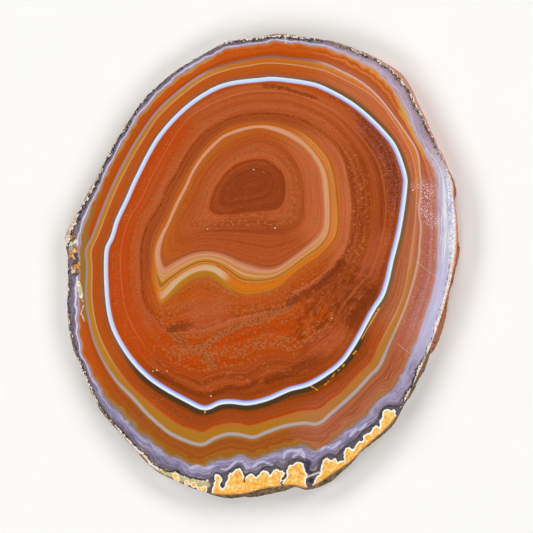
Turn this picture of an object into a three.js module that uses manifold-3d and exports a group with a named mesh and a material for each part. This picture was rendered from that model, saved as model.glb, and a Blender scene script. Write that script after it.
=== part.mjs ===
// A slice of banded agate, sawn from a nodule and polished: one stone, lying on its flat back face.
// Millimetres. +Z points out of the polished face, +Y along the longer side, and the origin is
// under the middle of the slice, on the surface that it lies on.
import * as THREE from 'three';
import { mergeVertices } from 'three/addons/utils/BufferGeometryUtils.js';
import Module from 'manifold-3d';

const wasm = await Module();
wasm.setup();

// The slice: how thick it was sawn, and how finely its rim is modelled
const thickness = 7;
const pointsRound = 320;
const rowsDown = 8;

// The sawn edge of the polished face, counter-clockwise from 3 o'clock
const faceEdge = [
  [60.7, 3.8], [60.4, 14], [59.6, 19.2], [59.6, 22.5], [58.2, 26.6], [55.5, 32.5], [48.6, 46.6],
  [45.2, 53.1], [42.1, 56.9], [38.5, 60], [34.4, 62.6], [23.3, 67.2], [11.6, 69.7], [4.6, 70.3],
  [-0.1, 69.8], [-11.6, 68.4], [-14.7, 66.8], [-17.7, 65.1], [-26.3, 60], [-34.5, 53.2],
  [-38, 49.3], [-40.2, 45.7], [-45, 38], [-48.8, 31.3], [-50.2, 27.6], [-53.7, 20.6], [-57.2, 14.1],
  [-60.2, 8.7], [-59.9, 6], [-59.1, 1.8], [-58.6, -6.7], [-58, -17.9], [-54.9, -29.1],
  [-51.3, -36.6], [-46.2, -45.1], [-42, -49.6], [-35.8, -56.2], [-30.1, -61.9], [-26.8, -64],
  [-21.8, -66], [-15.6, -68.4], [-9.2, -69.6], [-1.2, -69.1], [3.9, -67.7], [13.8, -66.4],
  [16.5, -67.2], [20.1, -66], [24.4, -63.1], [30.5, -58.9], [33.9, -55.3], [42.2, -47.5],
  [45.7, -41.5], [49.1, -34.6], [53.1, -25.1], [56.3, -15.7], [58.7, -6.2],
];

// Where the natural husk stands out past the sawn edge: direction and half width in degrees, reach
const huskBulges = [
  [54, 5, 1.5], [40, 6, 0.6], [171, 3, 0.7], [262, 6, 0.9], [270, 4, 1], [277, 5, 1.3], [292, 5, 0.7],
  [304, 6, 0.5], [341, 7, 0.4], [3, 5, 0.3], [215, 9, 0.4], [140, 12, 0.4], [100, 9, 0.3],
];
// How far the rim draws in again at the back, where the nodule's round side turns under
const backDrawsIn = 0.5;

// Relief of the husk, in cells round and down the rim: lumps, finer grains, and stepped ledges
const lumps = { round: 46, down: 2, height: 0.6, seed: 1 };
const grains = { round: 124, down: 4, height: 0.3, seed: 2 };
const ledges = { round: 30, down: 3, height: 0.45, seed: 3, steps: 3 };

// Pits in the husk: direction in degrees, share of the height, half width, depth
const huskPits = [
  [8, 0.35, 2.2, 0.8], [33, 0.5, 1.8, 0.6], [66, 0.4, 2.4, 0.7], [95, 0.55, 2, 0.6],
  [121, 0.3, 2.6, 0.8], [149, 0.5, 1.8, 0.7], [166, 0.35, 2.2, 0.8], [188, 0.45, 2, 0.7],
  [209, 0.6, 1.8, 0.6], [233, 0.35, 2.4, 0.8], [248, 0.5, 2, 0.7], [270, 0.45, 2.6, 1],
  [280, 0.4, 1.8, 0.7], [299, 0.35, 2.2, 0.8], [316, 0.5, 2, 0.7], [332, 0.3, 2.2, 0.8],
  [352, 0.6, 1.8, 0.6],
];
// Middle distance of the rim from the origin, which turns a pit's direction into a length
const rimRadius = 64;

// A small open pocket in the crust at the foot of the polished face
const pocket = { x: 18.3, y: -64.7, across: 1.7, along: 2.1, deep: 1.5 };

function hash(i, j, seed) {
  const s = Math.sin(i * 127.1 + j * 311.7 + seed * 74.7) * 43758.5453;
  return s - Math.floor(s);
}

function ease(t) {
  const held = Math.min(1, Math.max(0, t));
  return held * held * (3 - 2 * held);
}

// Smooth random relief from -1 to 1, closed on itself round the rim
function relief(turn, height, { round, down, seed }) {
  const u = turn * round;
  const v = height * down;
  const i = Math.floor(u);
  const j = Math.floor(v);
  const a = ease(u - i);
  const b = ease(v - j);
  const corner = (di, dj) => hash((i + di) % round, j + dj, seed);
  const low = corner(0, 0) * (1 - a) + corner(1, 0) * a;
  const high = corner(0, 1) * (1 - a) + corner(1, 1) * a;
  return 2 * (low * (1 - b) + high * b) - 1;
}

// Shortest way between two directions, in degrees
function apart(a, b) {
  return Math.abs(((a - b + 540) % 360) - 180);
}

// The husk's relief alone, which dies away at the sawn edge of the polished face
function huskRelief(degrees, height) {
  const turn = degrees / 360;
  const ledge = Math.round(relief(turn, height, ledges) * ledges.steps) / ledges.steps;
  const stand = lumps.height * relief(turn, height, lumps)
    + grains.height * relief(turn, height, grains) + ledges.height * ledge;
  return stand * Math.min(1, (1 - height) / 0.2);
}

// How far the rim stands out from the sawn edge, at a direction and a share of the height
function rimReach(degrees, height) {
  let reach = huskRelief(degrees, height) - backDrawsIn * ease(1 - height / 0.5);
  const belly = ease((1 - height) / 0.5);
  for (const [at, width, stand] of huskBulges) {
    reach += stand * belly * Math.exp(-((apart(degrees, at) / width) ** 2));
  }
  for (const [at, share, width, depth] of huskPits) {
    const along = THREE.MathUtils.degToRad(apart(degrees, at)) * rimRadius;
    const down = (height - share) * thickness;
    reach -= depth * Math.exp(-(along ** 2 + down ** 2) / width ** 2);
  }
  return reach;
}

// One row of points round the rim, at a share of the height, with the husk's relief
function rimRow(outline, height) {
  return outline.map(({ x, y }) => {
    const degrees = (THREE.MathUtils.radToDeg(Math.atan2(y, x)) + 360) % 360;
    const radius = Math.hypot(x, y);
    const grown = height < 1 ? 1 + rimReach(degrees, height) / radius : 1;
    return new THREE.Vector3(x * grown, y * grown, height * thickness);
  });
}

// The slice: rows of points from the back face up to the polished one, and the two flat faces
function sawnSlice() {
  const corners = faceEdge.map(([x, y]) => new THREE.Vector3(x, y, 0));
  const edge = new THREE.CatmullRomCurve3(corners, true, 'centripetal');
  const outline = edge.getSpacedPoints(pointsRound).slice(0, -1);
  const rows = Array.from({ length: rowsDown + 1 }, (_, row) => rimRow(outline, row / rowsDown));
  const faces = [];
  for (let row = 0; row < rowsDown; row += 1) {
    for (let k = 0; k < pointsRound; k += 1) {
      const next = (k + 1) % pointsRound;
      const below = row * pointsRound;
      const above = below + pointsRound;
      faces.push(below + k, below + next, above + next, below + k, above + next, above + k);
    }
  }
  const flat = (row) => THREE.ShapeUtils.triangulateShape(rows[row], []);
  const top = rowsDown * pointsRound;
  flat(0).forEach(([a, b, c]) => faces.push(a, c, b));
  flat(rowsDown).forEach(([a, b, c]) => faces.push(top + a, top + b, top + c));
  const slice = new THREE.BufferGeometry().setFromPoints(rows.flat());
  slice.setIndex(faces);
  return slice;
}

// The pocket's hollow, an egg sunk to its middle in the polished face
function pocketHollow() {
  const egg = new THREE.SphereGeometry(1, 12, 8);
  egg.scale(pocket.across / 2, pocket.along / 2, pocket.deep);
  egg.translate(pocket.x, pocket.y, thickness);
  egg.deleteAttribute('normal');
  egg.deleteAttribute('uv');
  return mergeVertices(egg, 1e-4);
}

function toSolid(geometry) {
  const vertProperties = new Float32Array(geometry.attributes.position.array);
  const triVerts = new Uint32Array(geometry.index.array);
  return new wasm.Manifold(new wasm.Mesh({ numProp: 3, vertProperties, triVerts }));
}

function toGeometry(solid) {
  const { vertProperties, triVerts } = solid.getMesh();
  const geometry = new THREE.BufferGeometry();
  geometry.setAttribute('position', new THREE.BufferAttribute(new Float32Array(vertProperties), 3));
  geometry.setIndex(new THREE.BufferAttribute(new Uint32Array(triVerts), 1));
  geometry.computeVertexNormals();
  return geometry;
}

const stone = toSolid(sawnSlice()).subtract(toSolid(pocketHollow()));
const polishedAgate = new THREE.MeshStandardMaterial({ color: '#b4561f', roughness: 0.18, metalness: 0 });
const slab = new THREE.Mesh(toGeometry(stone), polishedAgate);
slab.name = 'agate_slab';

const part = new THREE.Group();
part.add(slab);

export default part;
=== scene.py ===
# A polished slice of banded agate, lying on its sawn back on a pale table and seen from above.
# Lengths in the settings are millimetres in the slab's own frame. Colours are sRGB from 0 to 255.
import math
from functools import reduce
import bpy
import numpy as np
from mathutils import Matrix, Vector, noise
from mathutils.bvhtree import BVHTree
from mathutils.kdtree import KDTree


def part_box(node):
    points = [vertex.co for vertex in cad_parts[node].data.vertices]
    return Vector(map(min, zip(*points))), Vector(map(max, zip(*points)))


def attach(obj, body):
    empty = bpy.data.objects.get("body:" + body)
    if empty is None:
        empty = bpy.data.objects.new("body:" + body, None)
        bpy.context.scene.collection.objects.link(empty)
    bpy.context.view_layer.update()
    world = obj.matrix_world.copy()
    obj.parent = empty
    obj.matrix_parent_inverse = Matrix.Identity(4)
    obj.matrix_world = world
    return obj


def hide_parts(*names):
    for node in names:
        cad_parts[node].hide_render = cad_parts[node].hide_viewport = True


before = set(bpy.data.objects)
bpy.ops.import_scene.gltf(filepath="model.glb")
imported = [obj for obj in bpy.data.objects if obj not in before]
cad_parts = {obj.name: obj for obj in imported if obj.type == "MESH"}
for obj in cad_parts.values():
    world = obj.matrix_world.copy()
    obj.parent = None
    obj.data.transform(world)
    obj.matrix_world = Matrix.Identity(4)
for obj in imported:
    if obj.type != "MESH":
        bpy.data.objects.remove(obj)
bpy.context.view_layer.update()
print("stage: frame loaded")

millimetre = 0.001

# The growth lines of the agate as drawn on the polished face, clockwise, from the husk inwards
bandLines = {
    "black": [
        (-25.5, 61), (-20, 64.4), (-17, 65.6), (-14.7, 66.8), (-9.1, 68.4), (-1.6, 69), (5.5, 69.8),
        (10.4, 69.2), (21, 67.8), (25, 66.1), (28.7, 64.5), (32.1, 62.9), (34.7, 62), (38.3, 59.4),
        (39.8, 58.3), (41.3, 56.4), (44.6, 52.7), (46.5, 48.8), (47.9, 45.9), (49.3, 44.1), (50.4,
            41.5),
        (52.4, 37.8), (54.6, 33.1), (55.9, 30.8), (57.8, 24.7), (59.3, 9.7), (58.8, 0.7), (57.8, -6.1),
        (56.3, -12.4), (55.8, -14.8), (54.3, -18.9), (54.1, -21.6), (53.5, -23.2), (52.4, -24.8),
        (52, -26.7), (51.4, -28.6), (49.6, -31.3), (48.5, -35), (47.6, -37.2), (46.1, -39), (44.8,
            -42.7),
        (43, -42.8), (41, -42.6), (39.2, -43.7), (38.2, -46.5), (33.5, -50.4), (31.7, -52.6),
        (29.6, -54.1), (27.7, -55.3), (26.1, -57.6), (24, -57.2), (21.5, -58.4), (20.5, -61.2),
        (19.1, -63), (17.7, -62.6), (16.6, -59.8), (14.5, -58.6), (12.2, -59.4), (10.6, -61.7), (8.2,
            -61),
        (4.3, -61.3), (1.9, -63.3), (0.1, -62.6), (-1.4, -63.8), (-3, -60.9), (-5.1, -61.6), (-8.4,
            -63.5),
        (-10.2, -62.9), (-11.4, -64.6), (-13.5, -65.4), (-16.5, -65.1), (-18.3, -64.9), (-21, -63.8),
        (-22.5, -62.7), (-23.9, -63.3), (-26.8, -62.3), (-28.3, -61.7), (-29.6, -60.8), (-31.5, -58.7),
        (-32.3, -57.7), (-33.9, -56.8), (-39.9, -50.9), (-44.1, -47), (-46.7, -43.7), (-48.4, -40.7),
        (-51.1, -35.9), (-52.9, -32), (-55.4, -27.4), (-57.7, -18.2), (-58.1, -15.2), (-58.4, -11.4),
        (-58.5, -7.5), (-59.3, 0.2), (-59.5, 2.9), (-59.3, 5.4), (-58.5, 7.6), (-58, 9.5), (-57.1,
            11.3),
        (-56.3, 13.3), (-55.9, 15.4), (-54.5, 17.6), (-53.3, 19.8), (-52.6, 21.5), (-51.6, 23.2),
        (-51.2, 24.6), (-50.4, 25.6), (-49.4, 28.8), (-48.4, 30.7), (-47.8, 32), (-46.5, 33.6),
        (-45.5, 36.4), (-44.8, 38.1), (-43.8, 39.6), (-42.6, 40.8), (-41, 44.2), (-39.2, 47.3),
        (-37.4, 49.6), (-35.5, 52), (-31.6, 55.8), (-29.5, 57.8), (-27.5, 59.3),
    ],
    "grey": [
        (-25.4, 57.7), (-18.6, 61.7), (-11.7, 65.5), (-6.2, 66.4), (-0.7, 67.1), (3.7, 67.8), (9.3,
            67.1),
        (19.5, 65.5), (25.7, 63), (35.1, 58.1), (40.8, 51.8), (44.7, 44.4), (48.7, 35.9), (50.8, 32.4),
        (54, 24.8), (54.4, 17.2), (54.4, -2.7), (53.5, -8.4), (51.5, -14.9), (48.2, -25.3), (46, -29.3),
        (44.9, -33.3), (41.3, -38.4), (37.7, -41.1), (33.7, -45.8), (28.6, -49.9), (25.1, -53.3),
        (19.5, -55.9), (16.2, -55.1), (12.3, -55), (8.1, -56.4), (3.9, -57.6), (0.6, -59.3), (-2.5,
            -58.3),
        (-11.1, -59.5), (-15.2, -61.7), (-21.2, -59.1), (-25.7, -57.5), (-30, -54), (-34.6, -51.1),
        (-39.5, -46.3), (-44.3, -41.9), (-49.3, -33.9), (-52.9, -26.8), (-54.3, -11.5), (-54.3, -3.8),
        (-54.6, 3.9), (-54.1, 9.2), (-52.6, 15.5), (-49.4, 22.5), (-45.2, 32.1), (-39.5, 42.3),
        (-32.1, 51.9),
    ],
    "lavender": [
        (-18.5, 58.1), (-12, 60.8), (2.2, 63.2), (7.8, 62.7), (18.7, 61), (25.8, 57.8), (30.9, 54.8),
        (35.4, 51), (41.6, 43.4), (43.8, 40.3), (48.1, 33.4), (49.1, 26.6), (49.5, 23.9), (49.3, 18.8),
        (49, 15.2), (49.7, 10.9), (49.5, 6.7), (48.9, -0.4), (45.8, -12.4), (43.7, -17.9), (40.7,
            -24.9),
        (37.9, -31.2), (35.4, -33.8), (30.9, -38.8), (24.3, -44.8), (20.2, -48.1), (16, -48), (10, -49),
        (4.9, -50.8), (0.7, -52.4), (-2.7, -51.8), (-6.9, -51.6), (-11.2, -53), (-14.8, -54.8),
        (-23.9, -52), (-28, -49.2), (-32.4, -45.4), (-36.1, -41.6), (-41.9, -36), (-46.7, -29.3),
        (-49.8, -22.8), (-52.4, -11.5), (-52.6, -0.7), (-53.1, 3.9), (-51.2, 8.2), (-47.3, 19.2),
        (-43, 29.1), (-37.1, 39.9), (-30.9, 48.3),
    ],
    "tan": [
        (-18.4, 56.4), (-10.7, 59.4), (-4.5, 60.5), (2.3, 61.3), (18.7, 58.8), (25.8, 55.6), (32.6,
            51.8),
        (37.6, 47.3), (40.4, 43.4), (42.3, 40.7), (44.7, 36.4), (46.3, 33.3), (47.9, 26.3), (47.9,
            12.7),
        (46.1, -2.5), (45.3, -7.6), (43.5, -13.3), (37.6, -25.5), (35.8, -29.5), (31.5, -33.9),
        (26.9, -39), (24.1, -40.9), (20.5, -43.8), (14.7, -44.7), (5.7, -47.4), (-0.3, -49.1),
        (-3.7, -48.6), (-7, -48.6), (-11.3, -49.6), (-14.6, -51.2), (-17.8, -50.5), (-22.8, -48.7),
        (-32.5, -41.7), (-37.9, -37), (-44.4, -28.7), (-48.6, -20.2), (-50.5, -11.5), (-50.9, -2.3),
        (-51.3, 4), (-49.4, 8.5), (-45.5, 19.6), (-41.4, 28.9), (-35.9, 38.8), (-31.1, 45.9),
    ],
    "ring": [
        (-25, 46.5), (-18.1, 51.8), (-11.2, 55), (-0.3, 56.4), (4, 56.6), (14.8, 55), (18.2, 54),
        (28.9, 48), (38.4, 39.2), (41.8, 34.6), (45, 25.4), (45, 22.4), (43.5, 10.1), (41.3, 0.2),
        (40, -6.1), (38.6, -10.3), (36.3, -13.9), (30.3, -25.1), (26.4, -30.4), (17.5, -36.5),
        (11.2, -38.4), (5.1, -41.1), (-1.1, -42.6), (-6.3, -42.2), (-9.5, -42.5), (-14.2, -44.2),
        (-20.1, -41.9), (-31, -35.8), (-37.8, -29.4), (-43.4, -20.9), (-45.6, -13.8), (-46.9, 0.5),
        (-46.6, 4.8), (-45.3, 7.7), (-43.8, 13.1), (-41, 19.5), (-38.1, 26.4), (-32, 38.3),
    ],
    "wave": [
        (7.5, 52.2), (12.2, 50.9), (18.4, 48.3), (24.6, 44.6), (34.2, 34), (37.1, 28.5), (38.7, 21.9),
        (39.1, 15.8), (38.4, 8.3), (35, -3.1), (31.8, -6.4), (29.5, -9.5), (26.8, -12.8), (25.4, -16.1),
        (23.7, -20.5), (19.3, -24.2), (15.7, -27.2), (12.8, -29.3), (11.2, -29), (7.3, -28.4),
        (3.6, -28.8), (1, -30.3), (-2, -32.4), (-4.5, -32.7), (-8.5, -32.5), (-11.5, -33.4),
        (-14.2, -34.3), (-15.7, -35.2), (-17.3, -34.7), (-20.4, -33.5), (-24.5, -32), (-31.5, -27.2),
        (-34.4, -24.2), (-39.4, -15.4), (-40.9, -9.9), (-42, 3.9), (-39.6, 13.7), (-36.3, 19.3),
        (-33.1, 26.4), (-23.3, 43.3), (-17.2, 47.9), (-10.1, 50.9), (-4.3, 52.4),
    ],
    "fold": [
        (-0.2, 45.7), (9.2, 44.8), (13.9, 43.2), (19.2, 39.7), (23.3, 35.1), (26.1, 30.2), (28.6, 17.4),
        (28.4, 12.8), (28.2, 8.6), (27, 4.1), (25, 1.1), (22.7, -1.8), (16, -6.6), (11, -9.5),
        (9.6, -13.1), (3.2, -14.6), (-3.1, -16.2), (-6.5, -16.8), (-15, -19.9), (-22.7, -20.8),
        (-27, -20.8), (-30.6, -16.9), (-33.2, -13.6), (-34.6, -10.2), (-35.7, 3.9), (-35.2, 7.6),
        (-33.5, 12.2), (-30.3, 17.4), (-27.8, 23.6), (-26, 26.3), (-22.7, 32.8), (-20.4, 36.3),
        (-16.4, 40.5), (-13.6, 42.1), (-8.4, 44.5),
    ],
    "bundle": [
        (3.7, 43.1), (12.3, 40.1), (16.5, 37), (21.1, 31.7), (22.3, 29), (23.4, 25), (24.6, 14.5),
        (24.5, 10.4), (23.6, 7.1), (19.2, 2.2), (14.7, -0.8), (10.1, -4.6), (6.9, -7.3), (0.8, -9.2),
        (-3.2, -9.4), (-6.1, -8.5), (-11.6, -4.5), (-13.6, -3.2), (-16.7, -3), (-19.8, -4), (-22.8,
            -6.1),
        (-26.6, -10.2), (-29, -12.5), (-30.7, -8.7), (-32.2, -2.6), (-32.3, 3.5), (-31.6, 7.4),
        (-29.3, 12.3), (-27.7, 15.3), (-25.1, 21.7), (-21.7, 28.6), (-17.2, 35.3), (-12.2, 39.9),
        (-9.6, 41.6), (-4.5, 42.9),
    ],
    "crease": [
        (3.8, 41.9), (8.1, 40.6), (12.6, 38.2), (17.8, 33.1), (21, 27.8), (22.4, 20.1), (22.7, 11.8),
        (22.4, 9.3), (21.4, 6.8), (19.2, 4.1), (14.6, 0.8), (7, -4.6), (3.1, -5.8), (-3.5, -5.8),
        (-5.4, -5.1), (-9.6, -2), (-12.1, -0.7), (-16.4, -0.1), (-21.9, -2.4), (-26, -5.3), (-29.4,
            -8.2),
        (-31.2, -2.3), (-31.5, 3.9), (-29.7, 9.1), (-28.5, 11.2), (-26.6, 15.7), (-25.4, 18.6),
        (-22.5, 24.4), (-21.3, 27.3), (-19.6, 30.4), (-16.3, 34.8), (-11.1, 39.3), (-3.2, 41.9),
    ],
    "pink": [
        (0.1, 41.2), (2.6, 40.8), (7.9, 38.8), (13.4, 35.1), (17.3, 30.2), (18.7, 27), (19.9, 18.6),
        (19.9, 11), (18.9, 8.8), (14.5, 4.4), (8.8, 0), (6.9, -1.2), (4.8, -1.8), (1.8, -1.7),
        (-1.8, -0.6), (-5.5, 0.6), (-7.6, 1.6), (-11.8, 3.1), (-15.9, 3.4), (-20, 2.7), (-25.1, 0.2),
        (-28.2, -1.5), (-29.4, 0.8), (-29.7, 3.2), (-28.7, 8.2), (-27.6, 10.7), (-25.7, 15.3),
        (-24.5, 18.1), (-21.6, 24), (-20.4, 26.8), (-17.5, 31.6), (-13, 36.6), (-10.6, 38.5), (-3.1,
            40.9),
    ],
    "veil": [
        (0, 37.6), (5.4, 35.5), (8.8, 33.8), (11.1, 31.2), (12.9, 27.6), (14.2, 20.1), (13.9, 12.3),
        (12.3, 10.5), (9.3, 9.7), (-5.1, 9.8), (-14.4, 9.6), (-20.3, 8.7), (-22.8, 8.1), (-23.6, 10),
        (-22.2, 14), (-19.5, 18.6), (-17.1, 24.2), (-15.7, 27), (-11.2, 32.1), (-4.3, 36.4),
    ],
    "core": [
        (0.5, 31.6), (2.8, 31.1), (6.8, 27.9), (8.1, 25.7), (8.5, 20.1), (7.8, 17.9), (6.3, 16.3),
        (3.2, 15.7), (-0.7, 15.6), (-8.8, 14.7), (-12.1, 14.7), (-14.1, 15.5), (-14.8, 17), (-13.4,
            22.4),
        (-12, 24.7), (-10.5, 27), (-5.9, 30.5),
    ],
    "heart": [
        (-0.2, 29.4), (2.6, 28.5), (4.3, 27.1), (5.2, 24.8), (5, 22.1), (3.6, 20.2), (0.3, 18.8),
        (-3.8, 18.1), (-7.6, 17.1), (-10.2, 17.1), (-11.6, 18.5), (-11.5, 21.1), (-10.4, 23.6),
        (-7.9, 26.5), (-4.1, 28.6),
    ],
}
lineNames = list(bandLines)

# Strokes of odd colour on the face: centre line and half width
leftBelt = [(-36, 44), (-44.5, 30.5), (-50, 16), (-51, 3), (-50.5, -12), (-47, -25), (-39, -38)]
patches = {
    "dusk": [
        ([(-30.3, -33), (-25.3, -35.6), (-20.6, -38), (-15.9, -39.7), (-11.3, -39.4), (-6.8, -37.8),
          (-2.2, -37.8), (1.7, -35.4)], 0.75),
        ([(4.7, -35.3), (11.4, -33.2), (17.3, -30.1), (20.3, -28)], 1.35),
        ([(-25.8, -20.3), (-19.7, -18.9)], 1.1),
        ([(0.8, 54.3), (5.2, 53.8), (10, 52.4), (17, 50.2)], 0.6),
        ([(29.7, -17.8), (32.6, -13.6), (34.9, -8.8)], 2.4),
        ([(10.5, -12.2), (15.3, -9.2), (19.7, -6.5), (23.3, -3.8), (26.2, -0.1)], 1.2),
    ],
    "maroon": [
        ([(21.3, 51.4), (28.2, 46.9), (33, 41.8)],
            0.8), ([(32, 42.5), (37.5, 34.5), (41.2, 27), (42, 18)], 2.1),
    ],
    "speckled": [
        ([(-25.8, -20.5), (-19.4, -26), (-14.8, -25), (-9.7, -21.6), (-2.8, -18.3), (2.4, -16.8),
          (10.2, -12.8)], 0.9),
        ([(-15.7, -27.1), (-13.1, -29.5), (-11.6, -31.3)], 0.9),
    ],
    "blush": [
        ([(-16.7, -15.4), (-11.8, -15.1)], 3.6),
        ([(19.6, -24.8), (25.6, -22.6)], 3),
        ([(33.5, -2.8), (36.7, 3.2), (38.4, 6.8)], 2.4),
    ],
    "flame": [
        ([(-25.1, -23.9), (-22, -23.8)], 1.8),
        ([(-17.4, -30.1), (-17.3, -33.2)], 1.05),
        ([(-14.2, -35.5), (-8.4, -34.9), (-1.6, -35.7)], 1.4),
        ([(24, -19.1), (24.9, -18.1)], 1.8),
        ([(36.1, 2), (36.1, 3.8)], 0.9),
    ],
    "crescent": [
        ([(-26.4, -10.4), (-24.2, -7.2), (-21, -4.8), (-17, -3.2), (-13.6, -2.8), (-11.4, -3.6)], 2.6),
    ],
    "sedge": [([(-25.3, -12), (-23, -8.6), (-18.4, -5.4), (-13.2, -4.6), (-8, -6.2)], 2.8)],
    "blaze": [([(-34, -27), (-40.5, -14), (-42.5, 0), (-41, 14), (-34, 30), (-26, 41)], 4.5),
              ([(-30, -24), (-20, -28.5), (-9, -26), (3, -23.5), (13, -21)], 5)],
    "streaked": [([(17, -20), (24, -13), (31, -6)], 5.5)],
    "amber": [([(-14.6, 62.7), (-6.8, 62.9), (1, 62.3), (8.8, 60.2), (14, 59)], 3)],
    "rosy": [([(36.3, 61.5), (43, 56.5), (48.5, 48), (53, 39), (56.5, 31)], 2.4)],
    "ember": [
        ([(-12.1, -0.7), (-9.6, -2.3), (-7.5, -3.9), (-5.3, -5.4), (-3.1, -6.2), (2.1, -6.3),
          (6, -5.7)], 0.27),
    ],
    "honey": [([(-53, 3), (-49.5, 10.7), (-45.6, 23.7), (-40.4, 36.1), (-33.9, 47.9), (-25.4, 56.5),
        (-17.7, 62)], 3)],
    "gold": [([(44.6, 45.5), (46.7, 41.8), (48.9, 37.8), (51.1, 33.9)], 1.9)],
    "frost": [([(48.6, 23), (52.2, 22.4), (50.5, 17.6), (53, 12)], 1.5),
        ([(52, 33.9), (54.5, 29.9)], 1.2)],
    "vug": [([(-57.5, 8.6), (-57.2, 3.9), (-56.4, 0.2), (-56.1, -3)], 1.3)],
    "olive": [([(-53.8, 9.1), (-53.8, 3.9), (-53.4, -3.8), (-53.1, -10.9), (-51.8, -17)], 1.2),
              ([(-48.8, 22.5), (-51.2, 16.5)], 0.3), ([(-51.2, 16.5), (-53.2, 10.5)], 0.55)],
    "umber": [(leftBelt, 4.6),
              ([(-39, -38), (-28, -46.5), (-14, -52.5), (0, -50.5), (18, -46.5), (30, -37), (40, -21),
                  (46, -6)], 4)],
    "henna": [(leftBelt, 4.6)],
    "lens": [([(-55, -6.3), (-54.4, -8.4), (-54, -10.3)], 0.6)],
    "rose": [([(53, 19), (54.5, 6), (54, -4), (50, -20), (42, -34), (32, -44), (20, -50)], 6)],
    "lilac": [([(55, -18), (50.5, -29), (44.5, -38.5), (38, -44)], 3)],
    "slate": [([(17.5, -59.8), (17.2, -62.1), (18.5, -63.3)], 1.2)],
    "moss": [([(-26.5, -63.1), (-23.7, -64.1), (-19.6, -65.5), (-15.9, -66.3), (-12.6, -66.8)], 0.78)],
    "nugget": [
        ([(-22.7, -64.2), (-22.1, -65.2)], 0.72), ([(-19.1, -66.2), (-19, -66.4)], 0.66),
        ([(-17, -66.8), (-16.8, -66.9)], 0.72), ([(-15.3, -67.9), (-15.1, -67.9)], 0.48),
        ([(-13.7, -67.9), (-13.7, -68.2)], 0.78),
    ],
    "cleft": [
        ([(-8.4, -66.4), (-7.7, -67.6)], 0.3), ([(9.5, -65.8), (10.2, -66.7)], 0.36),
        ([(-1.6, -64.8), (-1.5, -65.7)], 0.34),
    ],
    "scallop": [
        ([(-8.7, -61.9), (-6.9, -62), (-5.4, -60.8), (-4.3, -59.7), (-3, -59.4), (-1.8, -60.1),
          (-1, -61.4)], 0.34),
        ([(-0.6, -61.4), (0.3, -61), (1.3, -61.1), (2.1, -60.3), (3.2, -59.8), (4.2, -59.6),
          (5.5, -60.1), (6.7, -60.5)], 0.34),
        ([(10.1, -58.3), (10.5, -57.1), (11.4, -56.4), (12.6, -56.1), (13.8, -56.4), (15, -56),
          (15.7, -56.4), (16.2, -57.3)], 0.34),
        ([(12.9, -58.1), (14.1, -57.3), (15.3, -57.2), (16.4, -58.2)], 0.34),
        ([(-18.2, -61.9), (-15.8, -61.2), (-13.3, -61.8), (-10.9, -61.2)], 0.34),
        ([(20.4, -55.9), (22.8, -55), (24.9, -55.2), (26.9, -53.4)], 0.34),
        ([(29.8, -51.6), (31.6, -49.8), (33.1, -49.5), (34.5, -48)], 0.34),
    ],
    "pale": [
        ([(6.7, 70.2), (7.2, 68.9), (7.3, 67.4)], 0.3),
        ([(-53.9, -10.9), (-53.3, -11.8), (-53.1, -13), (-53.4, -14), (-53.8, -15.8), (-53.4, -16.3),
          (-52.8, -17.9)], 0.2),
        ([(16.8, -64.2), (18.8, -63.3), (21.1, -62.4)], 0.3),
    ],
}

# Upper edge of the knobbly crust along the foot of the slab
crustLine = [
    (-11.3, -68.6), (-10.5, -65.2), (-10.8, -64.2), (-10.2, -63.5), (-8.5, -64.4), (-8.2, -65.3),
    (-8.9, -66.3), (-8.6, -67.6), (-8, -67.8), (-7.4, -67), (-7.3, -66.1), (-6.4, -65.1), (-6.6, -63.9),
    (-5.9, -63.1), (-5.1, -63.3), (-4.9, -62.6), (-3.1, -61.7), (-1.9, -63.5), (-1.5, -64.8),
    (-0.5, -63.7), (0.5, -63.2), (1.2, -63.6), (1.8, -64.3), (3, -63.2), (3.6, -62.3), (5.5, -62.6),
    (6.2, -63.8), (6.6, -62.9), (7.2, -62.1), (8.2, -61.7), (9.1, -62.3), (9.6, -62.1), (10.3, -62.4),
    (10.5, -63.3), (9.8, -64.3), (9.7, -66.1), (10.3, -65), (11.3, -63.8), (11.1, -62.3), (11.9, -60.5),
    (13.2, -60.3), (13.4, -59.8), (15.7, -59.7), (16.9, -62.7), (17.5, -63.4), (16.9, -64.5),
    (17.1, -66.2), (18.3, -67.1), (19.3, -65.8), (20, -64), (21.2, -62.8), (21.3, -61.7), (22, -59),
    (22.5, -58.3), (23.4, -58.2), (24.3, -58.9), (25.5, -58.2), (26.1, -58.7), (26.5, -59.6),
    (27.3, -58.9), (28.2, -59), (28.1, -56.9), (28.6, -55.3), (29.8, -54.9), (31, -55.7), (31.3, -54.8),
    (32.7, -53), (33.6, -53.2), (33.8, -52.4), (33.7, -51.6), (34.7, -50.9), (36.1, -50.4), (36.5,
        -49.3),
    (37, -48.7), (37.9, -48.5), (38.6, -49), (38.7, -48), (38.6, -47.1), (39.3, -46.1), (39.4, -44.5),
    (40.1, -43.7), (41.2, -43.5), (42, -44.1), (42.8, -43.5), (43.3, -44.1), (43.2, -45.3), (44.6,
        -45.5),
    (45.8, -46.7), (44.7, -52.6), (21.5, -74.9), (-11, -75.7),
]

# White grains: place and radius
sparkles = [
    (-29.4, -32.7, 0.3), (-30.6, -33, 0.25), (-26.3, -32.9, 0.25), (-12.5, -40.3, 0.3),
    (23.6, -16.7, 0.22), (5.6, 10.5, 0.3), (-1.5, 28.4, 0.26), (-15.2, 10.3, 0.22), (47.1, 21.8, 0.3),
]
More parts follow.
